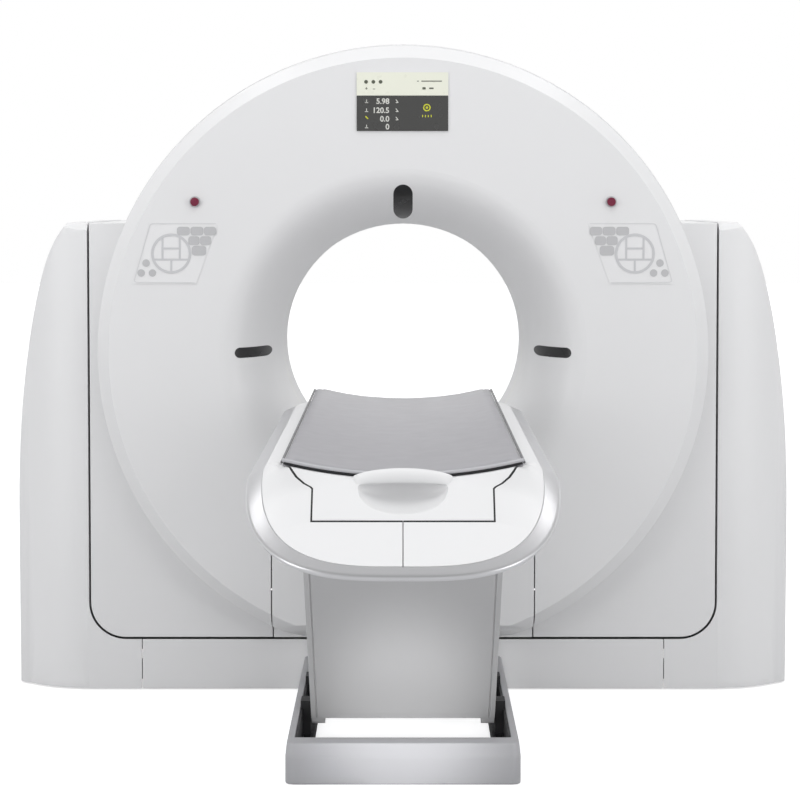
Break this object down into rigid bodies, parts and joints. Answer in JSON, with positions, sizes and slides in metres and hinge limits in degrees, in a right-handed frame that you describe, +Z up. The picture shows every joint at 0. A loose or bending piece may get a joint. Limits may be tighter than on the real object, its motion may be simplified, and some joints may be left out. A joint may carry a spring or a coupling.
{
  "type": "ct scanner",
  "caption": "Floor-standing computed tomography scanner: a tilting ring gantry between two towers with a couch that lifts and slides its cradle through the bore.",
  "frame": {"origin": "on the floor, at the centre of the four gantry anchor holes, straight below the centre of the bore", "axes": "+Z up, +Y along the bore from the couch to the back of the gantry, +X to the right seen from the couch"},
  "size_m": [2.224, 3, 1.838],
  "materials": {
    "shell": "smooth gloss white moulded cover",
    "window": "black gloss laser window",
    "scan_film": "pale translucent film ring",
    "display_dark": "dark display pane",
    "display_light": "cream status pane",
    "stop_red": "dark red button",
    "keypad": "flush membrane keypad",
    "frame_steel": "grey painted steel",
    "bright_steel": "machined steel",
    "rotor_alloy": "machined alloy",
    "dark_rubber": "black rubber",
    "silver_paint": "satin silver paint",
    "black_plastic": "black plastic",
    "tube_paint": "blue grey painted housing",
    "carbon_board": "dark carbon fibre board",
    "pad_vinyl": "grey lilac vinyl pad"
  },
  "bodies": {
    "stand": {"gantry_base_frame": "frame_steel", "tilt_bearings": "bright_steel", "right_tower_cover": "shell", "left_tower_cover": "shell", "floor_skirts": "shell", "tilt_gearmotor": "tube_paint", "couch_base_frame": "silver_paint", "base_tracks": "black_plastic", "lower_pivot_shafts": "bright_steel", "lift_gearmotor": "tube_paint"},
    "tilting_gantry": {"front_cover": "shell", "laser_windows": "window", "right_front_panel": "shell", "left_front_panel": "shell", "lower_center_cover": "shell", "right_side_cover": "shell", "left_side_cover": "shell", "drum_cover": "shell", "rear_cover": "shell", "scan_window": "scan_film", "display_bezel": "black_plastic", "display_screen": "display_dark", "display_status_strip": "display_light", "right_control_panel": "keypad", "left_control_panel": "keypad", "tilt_frame": "frame_steel", "bearing_outer_race": "bright_steel", "slip_ring_brushes": "black_plastic", "rotor_drive_motor": "tube_paint", "rotor_drive_belt": "dark_rubber", "tilt_sector_gear": "bright_steel"},
    "rotor": {"rotor_plate": "rotor_alloy", "bearing_inner_race": "bright_steel", "slip_ring": "rotor_alloy", "xray_tube_housing": "tube_paint", "beam_collimator": "frame_steel", "detector_array": "black_plastic", "counterweights": "bright_steel", "high_voltage_generator": "rotor_alloy", "tube_cooler": "rotor_alloy"},
    "drive_pulley": {"motor_pulley": "bright_steel"},
    "tilt_pinion": {"tilt_drive_pinion": "bright_steel"},
    "right_stop": {"right_emergency_stop": "stop_red"},
    "left_stop": {"left_emergency_stop": "stop_red"},
    "front_arm": {"front_lift_arm": "frame_steel", "lift_arm_cover": "silver_paint"},
    "rear_arm": {"rear_lift_arm": "frame_steel"},
    "lift_pinion": {"lift_drive_pinion": "bright_steel"},
    "couch_top": {"couch_frame": "frame_steel", "couch_cross_plates": "frame_steel", "upper_pivot_shafts": "bright_steel", "couch_rim": "silver_paint", "right_top_cover": "shell", "left_top_cover": "shell", "couch_pan": "shell", "guide_carriages": "bright_steel"},
    "drive_roller": {"cradle_drive_roller": "dark_rubber"},
    "cradle": {"cradle_board": "carbon_board", "cradle_pad": "pad_vinyl", "cradle_end_cap": "shell"}
  },
  "joints": [
    {"name": "gantry_tilt", "type": "hinge", "parent": "stand", "child": "tilting_gantry", "pos_m": [0, 0, 0.97], "axis": [1, 0, 0], "range_deg": [-20, 20]},
    {"name": "rotor_spin", "type": "hinge", "parent": "tilting_gantry", "child": "rotor", "pos_m": [0, 0, 0.97], "axis": [0, 1, 0], "continuous": true},
    {"name": "drive_pulley_spin", "type": "hinge", "parent": "tilting_gantry", "child": "drive_pulley", "pos_m": [-0.69, 0, 0.35], "axis": [0, 1, 0], "continuous": true},
    {"name": "tilt_pinion_spin", "type": "hinge", "parent": "stand", "child": "tilt_pinion", "pos_m": [1.0225, 0, 0.62], "axis": [1, 0, 0], "range_deg": [-122, 122]},
    {"name": "right_stop_press", "type": "slide", "parent": "tilting_gantry", "child": "right_stop", "axis": [0, 1, 0], "range_m": [0, 0.004], "stiffness_N_per_m": 1500},
    {"name": "left_stop_press", "type": "slide", "parent": "tilting_gantry", "child": "left_stop", "axis": [0, 1, 0], "range_m": [0, 0.004], "stiffness_N_per_m": 1500},
    {"name": "couch_lift", "type": "hinge", "parent": "stand", "child": "front_arm", "pos_m": [0, -1.05, 0.09], "axis": [-1, 0, 0], "range_deg": [-33, 12]},
    {"name": "rear_arm_swing", "type": "hinge", "parent": "stand", "child": "rear_arm", "pos_m": [0, -0.75, 0.09], "axis": [-1, 0, 0], "range_deg": [-33.5, 12.5]},
    {"name": "couch_level", "type": "hinge", "parent": "front_arm", "child": "couch_top", "pos_m": [0, -1.58033, 0.62033], "axis": [-1, 0, 0], "range_deg": [-12.5, 33.5]},
    {"name": "lift_pinion_spin", "type": "hinge", "parent": "stand", "child": "lift_pinion", "pos_m": [0, -0.642, 0.09], "axis": [-1, 0, 0], "range_deg": [-25, 67]},
    {"name": "cradle_slide", "type": "slide", "parent": "couch_top", "child": "cradle", "axis": [0, 1, 0], "range_m": [0, 1.3]},
    {"name": "drive_roller_spin", "type": "hinge", "parent": "couch_top", "child": "drive_roller", "pos_m": [0, -0.885, 0.77995], "axis": [1, 0, 0], "range_deg": [-3730, 10]}
  ],
  "couplings": [
    {"joint": "drive_pulley_spin", "follows": "rotor_spin", "ratio": 14.8},
    {"joint": "tilt_pinion_spin", "follows": "gantry_tilt", "ratio": -6},
    {"joint": "rear_arm_swing", "follows": "couch_lift", "ratio": 1},
    {"joint": "couch_level", "follows": "couch_lift", "ratio": -1},
    {"joint": "lift_pinion_spin", "follows": "couch_lift", "ratio": -2},
    {"joint": "drive_roller_spin", "follows": "cradle_slide", "rad_per_m": -50}
  ]
}
